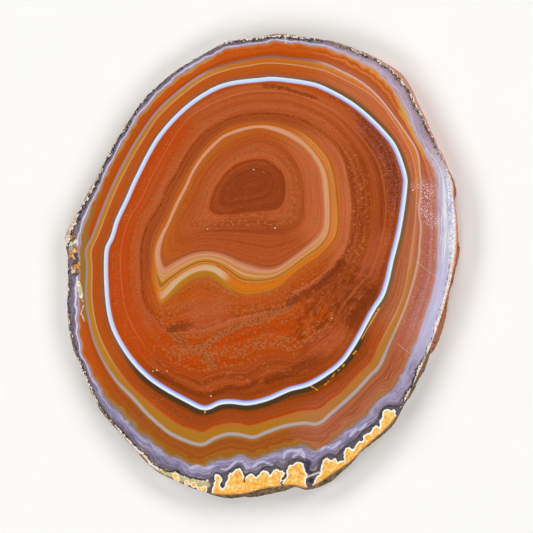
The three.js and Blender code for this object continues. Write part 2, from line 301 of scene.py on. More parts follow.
# Orange ticks across or beside the white ring: two ends and half width
ticks = [
    (-14.2, -44.6, -14.2, -45.6, 0.3), (37.7, -13.8, 35.1, -18.4, 0.3), (35.1, -18.4, 32.6, -22.9,
        0.22),
    (31.1, -26.5, 30.2, -27.5, 0.3), (27.6, -30.6, 24.9, -33.3, 0.3), (24.9, -33.3, 22, -36.6, 0.25),
    (17.8, -37, 19.8, -38.3, 0.28),
]
# Fine pale scratches in the polish
scratches = [(48.4, 0.4, 56.3, -5.8, 0.12), (43.2, -24, 50.2, -29.6, 0.1)]

# How the slice is meshed: points round, spacing across the faces, rows down the rim, the grain and
# the jagged edge of the husk, the shortest arcs before a ring takes half as many points, how far
# below a face the rim is measured, where rays start, and which way the jagged side looks
meshPlan = {
    "around": 1600, "edgeBelt": 5, "beltSpacing": 0.36, "faceSpacing": 0.72, "backSpacing": 1.5,
    "rimRows": 14, "bevel": 0.12, "roughness": 0.3, "roughCell": 1.1, "jag": 0.7, "jagCell": 1.2,
    "faceArc": 0.26, "backArc": 0.5, "fewestAround": 25, "grainFade": 0.8,
    "skin": 0.004, "rayStart": 100, "crown": (-0.5, 0.87),
}
# The open pocket in the crust: centre, size across and along, depth
pocket = {"x": 18.3, "y": -64.7, "across": 1.7, "along": 2.1, "deep": 1.5}


# A centripetal Catmull-Rom curve through given points, as closely spaced points
def smoothLine(points, closed, spacing=0.5):
    given = np.array(points, float)
    count = len(given)
    pieces = []
    for k in range(count if closed else count - 1):
        if closed:
            a, b, c, d = given[k - 1], given[k], given[(k + 1) % count], given[(k + 2) % count]
        else:
            b, c = given[k], given[k + 1]
            a = given[k - 1] if k > 0 else 2 * b - c
            d = given[k + 2] if k + 2 < count else 2 * c - b
        knots = np.cumsum([0] + [max(np.linalg.norm(q - p), 1e-6) ** 0.5 for p,
            q in ((a, b), (b, c), (c, d))])
        steps = max(2, round(np.linalg.norm(c - b) / spacing))
        t = (knots[1] + (knots[2] - knots[1]) * np.arange(steps) / steps)[:, None]
        ab = ((knots[1] - t) * a + (t - knots[0]) * b) / (knots[1] - knots[0])
        bc = ((knots[2] - t) * b + (t - knots[1]) * c) / (knots[2] - knots[1])
        cd = ((knots[3] - t) * c + (t - knots[2]) * d) / (knots[3] - knots[2])
        abc = ((knots[2] - t) * ab + (t - knots[0]) * bc) / (knots[2] - knots[0])
        bcd = ((knots[3] - t) * bc + (t - knots[1]) * cd) / (knots[3] - knots[1])
        pieces.append(((knots[2] - t) * abc + (t - knots[1]) * bcd) / (knots[2] - knots[1]))
    if not closed:
        pieces.append(given[-1:])
    return np.vstack(pieces)


# Distance from each place to a closed line, positive inside it
def depthInside(line, places):
    count = len(line)
    tree = KDTree(count)
    for k, (x, y) in enumerate(line):
        tree.insert((x, y, 0), k)
    tree.balance()
    near = np.array([tree.find((x, y, 0))[1] for x, y in places])
    gaps = []
    sides = []
    for step in (-1, 0):
        start = line[(near + step) % count]
        along = line[(near + step + 1) % count] - start
        length = np.maximum(np.hypot(*along.T), 1e-9)
        offset = places - start
        share = np.clip((offset * along).sum(1) / length ** 2, 0, 1)
        gaps.append(np.hypot(*(offset - share[:, None] * along).T))
        sides.append((along[:, 0] * offset[:, 1] - along[:, 1] * offset[:, 0]) / length)
    first = gaps[0] < gaps[1] - 1e-6
    second = gaps[1] < gaps[0] - 1e-6
    side = np.where(first, sides[0], np.where(second, sides[1], sides[0] + sides[1]))
    following = np.roll(line, -1, axis=0)
    area = (line[:, 0] * following[:, 1] - line[:, 1] * following[:, 0]).sum()
    return np.minimum(*gaps) * np.where(side * area > 0, 1, -1)


# Distance from each place to an open stroke
def gapToStroke(points, places):
    line = smoothLine(points, False)
    best = np.full(len(places), 1e9)
    for start, end in zip(line[:-1], line[1:]):
        along = end - start
        offset = places - start
        share = np.clip(offset @ along / max(along @ along, 1e-12), 0, 1)
        best = np.minimum(best, np.hypot(*(offset - share[:, None] * along).T))
    return best


def ease(value, low, high):
    share = np.clip((value - low) / (high - low), 0, 1)
    return share * share * (3 - 2 * share)


# The mesh of the slice, in three parts that each take a material of their own
polishedPart, sawnPart, huskPart = 0, 1, 2
vertices = []
faces = []
faceParts = []


def addRing(x, y, z):
    start = len(vertices)
    vertices.extend(zip(x, y, np.broadcast_to(z, np.shape(x))))
    return np.arange(start, len(vertices))


# Joins two rings, the second with as many points or half as many
def stitch(outer, inner, part, upward):
    found = []
    count = len(inner)
    for k in range(count):
        after = (k + 1) % count
        if len(outer) == count:
            found.append((outer[k], outer[after], inner[after], inner[k]))
        else:
            low, middle, high = outer[2 * k], outer[2 * k + 1], outer[(2 * k + 2) % len(outer)]
            found += [(low, middle, inner[k]), (middle, inner[after], inner[k]),
                (middle, high, inner[after])]
    for corners in found:
        faces.append(corners if upward else corners[::-1])
        faceParts.append(part)


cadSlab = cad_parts["agate_slab"]
cadTree = BVHTree.FromObject(cadSlab, bpy.context.evaluated_depsgraph_get())
cadLow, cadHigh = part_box("agate_slab")
thickness = (cadHigh[2] - cadLow[2]) / millimetre
turns = np.arange(meshPlan["around"]) / meshPlan["around"] * 2 * math.pi
headings = np.stack([np.cos(turns), np.sin(turns)], 1)


# How far the rim of the CAD slab stands from the middle, in each direction at a height
def rimRadii(height):
    hits = []
    for dx, dy in headings:
        outer = Vector((dx * meshPlan["rayStart"], dy * meshPlan["rayStart"], height)) * millimetre
        spot = cadTree.ray_cast(outer, Vector((-dx, -dy, 0)))[0]
        hits.append(math.hypot(spot.x, spot.y) / millimetre)
    return np.array(hits)


# The husk's fine grain only eats inwards, so the slice stays inside the CAD slab
def huskGrain(radii, height):
    cell = meshPlan["roughCell"]
    grain = [
        noise.fractal(Vector((r * dx, r * dy, height)) / cell, 1, 2, 3)
        for r, (dx, dy) in zip(radii, headings)
    ]
    fade = min(1, (thickness - height) / meshPlan["grainFade"])
    return np.clip(0.5 + 0.5 * np.array(grain), 0, 1) * meshPlan["roughness"] * fade


# A flat side, ring by ring inwards from its edge, with fewer points as the rings get shorter
def laySide(ring, edgeRadii, height, spacing, part, upward):
    stride = 1
    inset = meshPlan["bevel"]
    belt = meshPlan["edgeBelt"]
    beltStep = meshPlan["beltSpacing"] if upward else spacing
    meanRadius = edgeRadii.mean() - belt
    radii = []
    while inset < belt:
        radii.append(edgeRadii - inset)
        inset += beltStep
    rings = round(meanRadius / spacing)
    radii += [(edgeRadii - belt) * (1 - k / rings) for k in range(rings)]
    arcLimit = meshPlan["faceArc"] if upward else meshPlan["backArc"]
    for radius in radii:
        arc = radius.mean() * 2 * math.pi / (len(turns) / stride)
        if arc < arcLimit and len(turns) // stride > meshPlan["fewestAround"]:
            stride *= 2
        picked = slice(None, None, stride)
        x, y = (headings[picked] * radius[picked, None]).T
        z = np.full(len(x), float(height))
        if upward:
            u = (x - pocket["x"]) / (pocket["across"] / 2)
            v = (y - pocket["y"]) / (pocket["along"] / 2)
            z -= pocket["deep"] * np.sqrt(np.clip(1 - u * u - v * v, 0, 1))
        inner = addRing(x, y, z)
        stitch(ring, inner, part, upward)
        ring = inner
    hub = addRing(np.zeros(1), np.zeros(1), height)[0]
    for here, after in zip(ring, np.roll(ring, -1)):
        corners = (here, after, hub)
        faces.append(corners if upward else corners[::-1])
        faceParts.append(part)


edgeRadii = rimRadii(thickness - meshPlan["skin"])
jags = [
    noise.fractal(Vector((r * dx, r * dy, 0)) / meshPlan["jagCell"], 1, 2, 2)
    for r, (dx, dy) in zip(edgeRadii, headings)
]
crownward = ease(headings @ meshPlan["crown"], -0.55, 0)
edgeRadii = edgeRadii - np.clip(0.4 + 0.6 * np.array(jags), 0, 1) * meshPlan["jag"] * crownward
rows = []
for row in range(meshPlan["rimRows"] + 1):
    height = (thickness - meshPlan["bevel"]) * (1 - row / meshPlan["rimRows"])
    radii = rimRadii(max(height, meshPlan["skin"]))
    radii = radii - huskGrain(radii, height)
    if row == 0:
        radii = np.minimum(radii, edgeRadii)
    rows.append((addRing(*(headings * radii[:, None]).T, height), radii))
for (upper, _), (lower, _) in zip(rows, rows[1:]):
    stitch(lower, upper, huskPart, True)
topRing, topRadii = rows[0]
laySide(topRing, np.minimum(edgeRadii, topRadii), thickness, meshPlan["faceSpacing"], polishedPart,
    True)
laySide(*rows[-1], 0, meshPlan["backSpacing"], sawnPart, False)

places = np.array(vertices)
mesh = bpy.data.meshes.new("agate_slice")
mesh.from_pydata((places * millimetre).tolist(), [],
    [tuple(int(k) for k in corners) for corners in faces])
mesh.polygons.foreach_set("material_index", np.array(faceParts, dtype=np.int32))
mesh.polygons.foreach_set("use_smooth", np.array(faceParts) == huskPart)
agateSlice = bpy.data.objects.new("agate_slice", mesh)
bpy.context.scene.collection.objects.link(agateSlice)
print("stage: slice meshed,", sum(len(corners) - 2 for corners in faces), "triangles")


# Fields on the mesh that place the bands
def keepField(name, values):
    field = mesh.attributes.new(name, "FLOAT", "POINT")
    field.data.foreach_set("value", np.asarray(values, dtype=np.float32))


flat = places[:, :2]
outline = headings * edgeRadii[:, None]
depths = {"edge": depthInside(outline, flat)}
for name in lineNames:
    depths[name] = depthInside(smoothLine(bandLines[name], True), flat)
for name, depth in depths.items():
    keepField("in_" + name, depth)
keepField("in_crust", depthInside(smoothLine(crustLine, True), flat))

# Which side of the slab a place is on: the growth lines are centred higher up near the middle
middle = {"x": -4, "y": 19}
inward = ease(depths["fold"], -4, 4)
around = np.degrees(np.arctan2(flat[:, 1] - middle["y"] * inward, flat[:, 0] - middle["x"] * inward))


def sector(heading, halfWidth, soft):
    away = np.abs((around - heading + 180) % 360 - 180)
    return 1 - ease(away, halfWidth - soft, halfWidth + soft)


inRing = ease(depths["ring"], -1, 1)
keepField("right", sector(6 * inRing, 28 + 18 * inRing, 9 + 5 * inRing))
keepField("foot", sector(-86, 56, 10))
keepField("shoulder", sector(47, 25, 9))
for name, strokes in patches.items():
    keepField(name,
        np.max([1 - gapToStroke(points, flat) / (2 * half) for points, half in strokes], axis=0))
keepField("down", (thickness - places[:, 2]) / thickness)
print("stage: band fields laid")


# A colour from 0 to 255 as the shader's linear one
def tint(red, green, blue):
    linear = [(c / 255 / 12.92) if c <= 10 else ((c / 255 + 0.055) / 1.055) ** 2.4 for c in (red, green,
        blue)]
    return (*linear, 1)


class Wiring:
    def __init__(self, tree):
        self.tree = tree

    def put(self, socket, value):
        if isinstance(value, bpy.types.NodeSocket):
            self.tree.links.new(value, socket)
        else:
            socket.default_value = value

    def add(self, kind, inputs=None, **settings):
        node = self.tree.nodes.new(kind)
        for name, value in settings.items():
            setattr(node, name, value)
        for key, value in (inputs or {}).items():
            self.put(node.inputs[key], value)
        return node

    def maths(self, operation, first, second=0.0, clamp=False):
        return self.add("ShaderNodeMath", {0: first, 1: second}, operation=operation,
            use_clamp=clamp).outputs[0]

    def field(self, name):
        return self.add("ShaderNodeAttribute", attribute_name=name).outputs["Fac"]

    def span(self, value, low, high, start=0.0, end=1.0):
        inputs = {"Value": value, "From Min": low, "From Max": high, "To Min": start, "To Max": end}
        return self.add("ShaderNodeMapRange", inputs, interpolation_type="SMOOTHSTEP").outputs["Result"]

    def blend(self, share, under, over, how="MIX"):
        return self.add("ShaderNodeMix", {0: share, 6: under, 7: over}, data_type="RGBA",
            blend_type=how).outputs[2]

    def grade(self, share, under, over):
        return self.add("ShaderNodeMix", {0: share, 2: under, 3: over}, data_type="FLOAT").outputs[0]

    # A colour ramp over stops of (value, colour)
    def ramp(self, value, stops):
        low, high = stops[0][0], stops[-1][0]
        scaled = self.maths("DIVIDE", self.maths("SUBTRACT", value, low), high - low)
        node = self.add("ShaderNodeValToRGB", {0: scaled})
        elements = node.color_ramp.elements
        while len(elements) < len(stops):
            elements.new(0.5)
        for element, (at, colour) in zip(elements, stops):
            element.position = (at - low) / (high - low)
            element.color = tint(*colour)
        return node.outputs["Color"]

    # DISTANCE and DOT_PRODUCT put out a value, and the other sums of vectors a vector
    def vector(self, operation, first, second):
        second = {"Scale": second} if operation == "SCALE" else {1: second}
        node = self.add("ShaderNodeVectorMath", {0: first, **second}, operation=operation)
        return node.outputs["Value" if operation in ("DISTANCE", "DOT_PRODUCT") else "Vector"]

    def coordinates(self):
        return self.vector("SCALE", self.add("ShaderNodeTexCoord").outputs["Object"], 1 / millimetre)

    def join(self, x, y=0.0, z=0.0):
        return self.add("ShaderNodeCombineXYZ", {0: x, 1: y, 2: z}).outputs[0]

    def voronoi(self, vector, scale, feature, output):
        inputs = {"Vector": vector, "Scale": scale}
        return self.add("ShaderNodeTexVoronoi", inputs, feature=feature).outputs[output]

    def noise(self, vector, scale, detail=2.0, roughness=0.5, distortion=0.0):
        inputs = {"Vector": vector, "Scale": scale, "Detail": detail, "Roughness": roughness,
            "Distortion": distortion}
        return self.add("ShaderNodeTexNoise", inputs).outputs["Fac"]

    def group(self, tree, inputs):
        node = self.add("ShaderNodeGroup")
        node.node_tree = tree
        for name, value in inputs.items():
            self.put(node.inputs[name], value)
        return node.outputs[0]


def newGroup(name, inputs, output):
    tree = bpy.data.node_groups.new(name, "ShaderNodeTree")
    for label, kind in inputs:
        tree.interface.new_socket(label, in_out="INPUT", socket_type=kind)
    tree.interface.new_socket(output[0], in_out="OUTPUT", socket_type=output[1])
    wiring = Wiring(tree)
    return tree, wiring, wiring.add("NodeGroupInput").outputs, wiring.add("NodeGroupOutput").inputs[0]


# Sums of values in the group or material in hand, which is always called wire
def times(*values):
    return reduce(lambda first, second: wire.maths("MULTIPLY", first, second), values)


def most(*values):
    return reduce(lambda first, second: wire.maths("MAXIMUM", first, second), values)


def plus(first, second):
    return wire.maths("ADD", first, second)


def minus(first, second):
    return wire.maths("SUBTRACT", first, second)


def centred(value):
    return minus(value, 0.5)


def inverse(value):
    return minus(1.0, value)


number, colour, vector = "NodeSocketFloat", "NodeSocketColor", "NodeSocketVector"

# Soft-edged stroke where a distance lies near a middle value
strokeGroup, wire, given, result = newGroup(
    "stroke", [("Distance", number), ("Middle", number), ("Half Width", number),
        ("Soft", number)], ("Mask", number))
off = wire.maths("ABSOLUTE", minus(given["Distance"], given["Middle"]))
outside = minus(off, given["Half Width"])
wire.put(result, wire.span(wire.maths("DIVIDE", outside, given["Soft"]), 1.0, 0.0))

# Fine flecks: Cover is the share of the stone that they take
fleckGroup, wire, given, result = newGroup(
    "flecks", [("Vector", vector), ("Grain", number), ("Cover", number)], ("Mask", number))
grain = wire.noise(given["Vector"], given["Grain"], 2.5, 0.6)
threshold = minus(0.68, times(given["Cover"], 0.36))
wire.put(result, wire.span(minus(grain, threshold), -0.01, 0.014))

# How far in a place lies, counted in growth lines: 0 at the sawn edge, 1 at the black line and so on
bandGroup, wire, given, result = newGroup("bandCount", [("Wander", number)], ("Band", number))
insides = [plus(wire.field("in_" + name), given["Wander"]) for name in ["edge"] + lineNames]
total = 0.0
for outer, inner in zip(insides, insides[1:] + [None]):
    if inner is None:
        share = wire.maths("DIVIDE", outer, 5.0, clamp=True)
    else:
        gone = most(outer, 0.0)
        short = most(times(inner, -1.0), 0.0)
        share = wire.maths("DIVIDE", gone, plus(plus(gone, short), 1e-5), clamp=True)
    total = plus(total, share)
wire.put(result, total)

# Tones of the stone
stoneTones = {
    "soot": (68, 56, 50), "bark": (106, 72, 40), "ash": (108, 98, 104), "hazel": (114, 90, 58),
    "walnut": (128, 68, 18), "dove": (144, 120, 120), "mahogany": (146, 64, 28),
    "haze": (146, 138, 160), "cork": (148, 108, 70), "chestnut": (154, 68, 22), "tawny": (162, 86, 32),
    "sienna": (162, 74, 32), "brick": (166, 78, 36), "mist": (166, 142, 150), "mustard": (166, 106, 32),
    "flame": (168, 66, 12), "clay": (168, 86, 44), "russet": (168, 78, 32), "lilac": (172, 160, 182),
    "terracotta": (172, 94, 58), "rose": (176, 100, 88), "copper": (178, 84, 40), "rust": (178, 80, 32),
    "ember": (180, 76, 18), "fawn": (184, 108, 66), "cinnamon": (186, 92, 48), "amber": (186, 100, 36),
    "blush": (188, 132, 110), "biscuit": (188, 120, 82), "orange": (190, 88, 28),
    "ochre": (192, 126, 42), "orchid": (194, 172, 196), "marigold": (194, 108, 48),
    "coral": (194, 104, 62), "shell": (196, 152, 142), "honey": (202, 134, 66),
    "pearl": (204, 188, 208), "peach": (206, 138, 84), "silver": (208, 208, 220),
    "tangerine": (208, 112, 28), "apricot": (214, 152, 108), "carrot": (214, 116, 54),
    "gold": (216, 140, 66), "salmon": (216, 152, 126), "sand": (218, 180, 154),
    "petal": (226, 202, 208), "white": (246, 242, 246), "cream": (246, 214, 196),
    "poppy": (204, 88, 26), "plum": (126, 114, 134), "umber": (112, 92, 78), "pebble": (176, 158, 178),
    "violet": (146, 142, 178), "sorrel": (202, 120, 80), "tea": (158, 118, 66),
}

# How the tones follow each other inwards, counted in growth lines, on the sides of the slab
bandTones = {
    "outer": {
        "crown": [
            (0, "sand"), (0.6, "shell"), (0.95, "ash"), (1.36, "ash"), (1.5, "plum"), (1.58, "haze"),
            (1.64, "pearl"), (1.7, "white"), (1.75, "orchid"), (1.81, "haze"), (1.88, "pebble"),
            (1.95, "blush"), (2.03, "marigold"), (2.15, "poppy"), (2.28, "orange"), (2.4, "poppy"),
            (2.8, "ember"), (2.92, "clay"), (3, "dove"), (3.1, "blush"), (3.2, "honey"),
            (3.65, "ochre"), (3.88, "honey"), (4.06, "amber"), (4.2, "orange"), (4.45, "orange"),
            (4.7, "copper"), (4.88, "cork"), (5, "umber"),
        ],
        "shoulder": [
            (0, "salmon"), (0.6, "cream"), (0.95, "dove"), (1.1, "dove"), (1.22, "mist"),
            (1.72, "orchid"), (1.78, "petal"), (1.83, "dove"), (1.9, "pearl"), (1.96, "salmon"),
            (2.06, "gold"), (2.14, "carrot"), (2.22, "marigold"), (2.28, "clay"), (2.36, "carrot"),
            (2.46, "carrot"), (2.55, "copper"), (2.8, "coral"), (2.9, "terracotta"), (2.98, "shell"),
            (3.08, "apricot"), (3.25, "honey"), (3.65, "carrot"), (3.95, "coral"), (4.5, "coral"),
            (4.72, "terracotta"), (4.86, "hazel"), (5, "hazel"),
        ],
        # On the right the outer white and silver belts are a paler bluish chalcedony with painted glare
        # of the light laid into them
        "right": [
            (0, "coral"), (0.35, "salmon"), (0.6, "white"), (1.16, "white"), (1.28, "silver"),
            (1.38, "silver"), (1.5, "white"), (1.58, "silver"), (1.68, "pearl"), (1.8, "orchid"),
            (2.02, "shell"), (2.09, "blush"), (2.2, "rose"), (2.32, "blush"), (2.45, "rose"),
            (2.7, "terracotta"), (2.9, "fawn"), (3, "apricot"), (3.1, "biscuit"), (3.5, "fawn"),
            (3.93, "peach"), (4.04, "fawn"), (4.5, "terracotta"), (4.78, "terracotta"), (4.9, "cork"),
            (5, "ash"),
        ],
        "foot": [
            (0, "bark"), (0.6, "biscuit"), (0.95, "soot"), (1.1, "ash"), (1.3, "plum"),
            (1.62, "violet"), (1.74, "lilac"), (1.85, "haze"), (1.95, "dove"), (2.05, "tea"),
            (2.2, "mustard"), (2.36, "tawny"), (2.8, "tawny"), (2.93, "tea"), (3.15, "mustard"),
            (3.6, "mustard"), (3.9, "amber"), (4.05, "ember"), (4.3, "sienna"), (4.58, "chestnut"),
            (4.76, "walnut"), (4.88, "bark"), (5, "soot"),
        ],
    },
    "middle": {
        "crown": [
            (5, "terracotta"), (5.1, "orange"), (5.35, "ember"), (5.7, "cinnamon"), (5.9, "cinnamon"),
            (5.97, "coral"), (6.05, "rust"), (6.2, "cinnamon"), (6.4, "rust"), (6.55, "cinnamon"),
            (6.85, "cinnamon"), (7.03, "chestnut"), (7.16, "brick"), (7.55, "sienna"), (7.9, "clay"),
            (8, "tawny"),
        ],
        "right": [
            (5, "coral"), (5.15, "clay"), (5.4, "mahogany"), (5.7, "brick"), (5.93, "mahogany"),
            (6, "clay"), (6.08, "mahogany"), (6.28, "brick"), (6.46, "chestnut"), (6.56, "sienna"),
            (6.64, "mahogany"), (6.76, "brick"), (6.87, "mahogany"), (6.97, "brick"), (7.03, "coral"),
            (7.36, "coral"), (7.43, "cinnamon"), (7.64, "coral"), (7.72, "cinnamon"),
            (7.82, "marigold"), (7.93, "amber"), (8, "amber"),
        ],
        "foot": [
            (5, "rose"), (5.07, "russet"), (5.18, "chestnut"), (5.45, "chestnut"), (5.55, "rust"),
            (5.75, "russet"), (5.86, "chestnut"), (5.98, "copper"), (6.05, "russet"), (6.24, "flame"),
            (6.4, "ember"), (6.5, "cinnamon"), (6.56, "flame"), (6.66, "rust"), (6.76, "ember"),
            (6.92, "cinnamon"), (6.99, "coral"), (7.07, "ember"), (7.3, "ember"), (7.85, "orange"),
            (7.94, "amber"), (8, "amber"),
        ],
    },
    "inner": {
        "crown": [
            (8, "russet"), (8.13, "orange"), (8.45, "amber"), (8.75, "orange"), (8.98, "amber"),
            (9.12, "peach"), (9.33, "apricot"), (9.6, "salmon"), (9.87, "salmon"), (10.05, "amber"),
            (10.8, "rust"), (11.02, "copper"), (11.75, "cinnamon"), (11.88, "cinnamon"),
            (11.97, "orange"), (12.03, "mahogany"), (12.5, "sienna"), (12.95, "mahogany"),
            (14, "mahogany"),
        ],
        "right": [
            (8, "marigold"), (8.18, "honey"), (8.78, "carrot"), (8.92, "gold"), (9, "marigold"),
            (9.07, "amber"), (9.29, "apricot"), (9.66, "apricot"), (9.89, "sorrel"), (10, "coral"),
            (10.12, "coral"), (10.93, "cinnamon"), (11.02, "brick"), (11.97, "cinnamon"),
            (12.03, "mahogany"), (14, "mahogany"),
        ],
        "foot": [
            (8, "ochre"), (8.1, "tangerine"), (8.96, "tangerine"), (9.01, "peach"), (9.05, "honey"),
            (9.1, "mustard"), (9.16, "mustard"), (9.22, "ochre"), (9.3, "honey"), (9.42, "apricot"),
            (9.5, "peach"), (9.57, "honey"), (9.68, "apricot"), (9.78, "salmon"), (9.85, "sorrel"),
            (9.98, "biscuit"), (10.04, "clay"), (10.16, "copper"), (10.93, "brick"),
            (11.01, "mahogany"), (11.1, "brick"), (11.5, "sienna"), (11.95, "copper"),
            (12.03, "mahogany"), (14, "mahogany"),
        ],
    },
}

bandColourGroup, wire, given, result = newGroup(
    "bandColour", [("Band", number), ("Right", number), ("Foot", number),
        ("Shoulder", number)], ("Color", colour))
belts = []
for sides in bandTones.values():
    belt = None
    for side, stops in sides.items():
        tones = wire.ramp(given["Band"], [(at, stoneTones[name]) for at, name in stops])
        belt = wire.blend(given[side.capitalize()], belt, tones) if belt else tones
    belts.append(belt)
pastRing = wire.maths("GREATER_THAN", given["Band"], 5.0)
pastBundle = wire.maths("GREATER_THAN", given["Band"], 8.0)
wire.put(result, wire.blend(pastBundle, wire.blend(pastRing, belts[0], belts[1]), belts[2]))


agateGroup, wire, given, result = newGroup("agatePattern", [("Vector", vector)], ("Color", colour))
place = given["Vector"]
right, foot, shoulder = wire.field("right"), wire.field("foot"), wire.field("shoulder")
aloft = wire.span(wire.add("ShaderNodeSeparateXYZ", {0: place}).outputs[1], -6.0, 10.0)
ripple = centred(wire.noise(place, 0.5, 4.0, 0.6))
wander = times(ripple, 0.15)
band = wire.group(bandGroup, {"Wander": wander})


def within(low, high, soft=0.05):
    return times(wire.span(band, low - soft, low + soft), wire.span(band, high + soft, high - soft))


def bySide(crown, rightSide, footSide, mix=wire.grade):
    return mix(foot, mix(right, crown, rightSide), footSide)


rindRipple = times(centred(wire.noise(place, 0.3, 1.0, 0.4)), within(1.25, 2.5, 0.3),
    bySide(0.55, 0.1, 0.5))
band = plus(band, rindRipple)
shade = wire.group(bandColourGroup, {"Band": band, "Right": right, "Foot": foot, "Shoulder": shoulder})


def distance(name):
    return plus(wire.field("in_" + name), wander)


def stroke(source, middle, half, soft=0.15):
    return wire.group(strokeGroup,
        {"Distance": source, "Middle": middle, "Half Width": half, "Soft": soft})


# fine growth layers that follow the bands, in two sizes, the pale ones pinker and the dark ones browner
layerSettings = {"broad": 12.0, "fine": 34.0, "drift": 0.06, "depth": 0.44}


def layered(count, drift, detail=3.0):
    across = wire.join(times(band, count))
    along = wire.vector("SCALE", place, drift)
    return wire.noise(wire.vector("ADD", across, along), 1.0, detail, 0.6)


broadLayers = layered(layerSettings["broad"], layerSettings["drift"])
fineLayers = layered(layerSettings["fine"], layerSettings["drift"])
inStone = within(2.02, 15)
spottable = times(inStone, inverse(within(8.0, 10.15, 0.03)))
layerMix = plus(times(broadLayers, 0.4), times(fineLayers, 0.6))
layerShade = wire.span(layerMix, 0.36, 0.64, 1 - layerSettings["depth"] / 2,
    1 + layerSettings["depth"] / 2)
layerShade = wire.grade(inStone, 1.0, layerShade)
layerTint = wire.join(wire.grade(0.4, layerShade, 1.0), layerShade, wire.grade(1.2, 1.0, layerShade))
shade = wire.blend(1.0, shade, layerTint, "MULTIPLY")

# mottled and stippled belts
patchyNoise = plus(times(broadLayers, 0.6), times(wire.noise(place, 0.16, 3.0), 0.4))
patchy = wire.span(patchyNoise, 0.4, 0.6, 0.35, 1.0)
spotted = wire.span(wire.field("speckled"), 0.1, 0.6)
mottle = most(
    times(within(6.05, 8), foot, patchy), times(within(6.4, 7), 0.7, patchy),
    times(within(5.45, 6), 0.6, patchy), times(within(11.2, 12, 0.1), 0.7), spotted)
streaks = wire.add("ShaderNodeTexNoise", {
    "Vector": wire.vector("SCALE", place, 0.5), "W": times(band, 12.0),
    "Scale": 1.0, "Detail": 4.0, "Roughness": 0.6,
}, noise_dimensions="4D").outputs["Fac"]
blaze = times(wire.span(wire.field("blaze"), 0.05, 0.95), within(5.1, 7.7, 0.1), 0.72)
shade = wire.blend(blaze, shade, tint(192, 68, 4))
flecks = {
    "rim": (1.0, plus(times(mottle, 0.6), times(spotted, 0.28)), 0.7, (146, 58, 14)),
    "tan": (1.0, plus(times(mottle, 0.52), times(spotted, 0.24)), 1.0, (180, 98, 52)),
    "pink": (2.6, plus(times(mottle, 0.16), 0.05), 0.5, (200, 114, 72)),
    "dark": (2.2, plus(times(spotted, 0.34), 0.05), 0.6, (118, 48, 16)),
}
for grainSize, coverShare, strength, tone in flecks.values():
    fleck = wire.group(fleckGroup, {"Vector": place, "Grain": grainSize, "Cover": coverShare})
    shade = wire.blend(times(fleck, spottable, strength), shade, tint(*tone))
fineGrit = wire.noise(place, 3.6, 2.0, 0.8)
speckle = wire.span(fineGrit, 0.25, 0.75, 0.86, 1.14)
speckle = wire.grade(spottable, 1.0, speckle)
shade = wire.blend(1.0, shade, wire.join(speckle, speckle, speckle), "MULTIPLY")

# patches of odd colour with streaked, ragged edges
ragged = plus(times(centred(streaks), 1.3), times(centred(wire.noise(place, 1.5, 5.0, 0.7)), 1.5))
crumbs = wire.noise(place, 2.4, 3.0, 0.7)
broken = plus(0.55, times(wire.span(crumbs, 0.42, 0.58), 0.45))
patchSettings = {
    "dusk": ((116, 48, 16), times(broken, 0.8), 1.1, 0.2),
    "maroon": ((118, 46, 26), times(broken, wire.span(broadLayers, 0.58, 0.44, 0.15, 0.95)), 1.0, 0.45),
    "blush": ((192, 94, 58), 0.55, 0.8, 0.45), "flame": ((198, 74, 4), 0.85, 0.8, 0.1),
    "sedge": ((178, 124, 36), times(within(7.93, 8.16, 0.06), 0.85), 0.0, 0.45),
    "crescent": ((212, 178, 138), times(within(8.2, 8.82, 0.12), 0.95), 0.0, 0.4),
    "ember": ((207, 92, 8), 0.9, 0.15, 0.1),
    "streaked": ((120, 52, 18), times(wire.span(streaks, 0.46, 0.6), 0.75), 0.3, 0.4),
    "amber": ((196, 102, 32), times(within(3.15, 3.95), 0.85), 0.2, 0.45),
    "rosy": ((226, 142, 112), times(within(-1, 0.8), 0.9), 0.3, 0.3),
    "honey": ((194, 142, 66), times(within(1.97, 2.2), 0.85), 0.2, 0.4),
    "gold": ((216, 168, 84), times(within(1.97, 2.5, 0.08), 0.85), 0.1, 0.45),
    "umber": ((180, 124, 38), times(within(3.06, 3.93), 0.7), 0.1, 0.4),
    "henna": ((174, 78, 26), times(plus(within(2.12, 2.85, 0.08), within(4.05, 4.85)), 0.6), 0.2, 0.4),
    "rose": ((188, 110, 96), times(within(2.0, 4.9), wire.span(fineLayers, 0.4, 0.62, 0.1, 0.7)), 0.3,
        0.45),
    "lilac": ((166, 154, 182), times(within(1.15, 1.96), 0.7), 0.4, 0.4),
    "olive": ((150, 116, 50), times(within(1.96, 2.9), 0.85), 0.3, 0.3),
}
for name, (tone, strength, rough, soft) in patchSettings.items():
    amount = plus(wire.field(name), times(ragged, rough))
    shade = wire.blend(times(wire.span(amount, 0.5 - soft, 0.5 + soft), strength), shade, tint(*tone))
dust = wire.span(fineGrit, 0.58, 0.66)
dusted = most(
    times(wire.span(wire.field("maroon"), 0.1, 0.6), 0.45),
    times(within(2.05, 2.95), right, 0.8), wire.span(wire.field("frost"), 0.1, 0.6))
shade = wire.blend(times(dust, dusted, 0.8), shade, tint(230, 194, 200))
frost = plus(wire.field("frost"), times(ragged, 1.2))
frosted = times(wire.span(frost, 0.2, 0.7), wire.span(crumbs, 0.55, 0.61), 0.75)
shade = wire.blend(frosted, shade, tint(250, 238, 244))

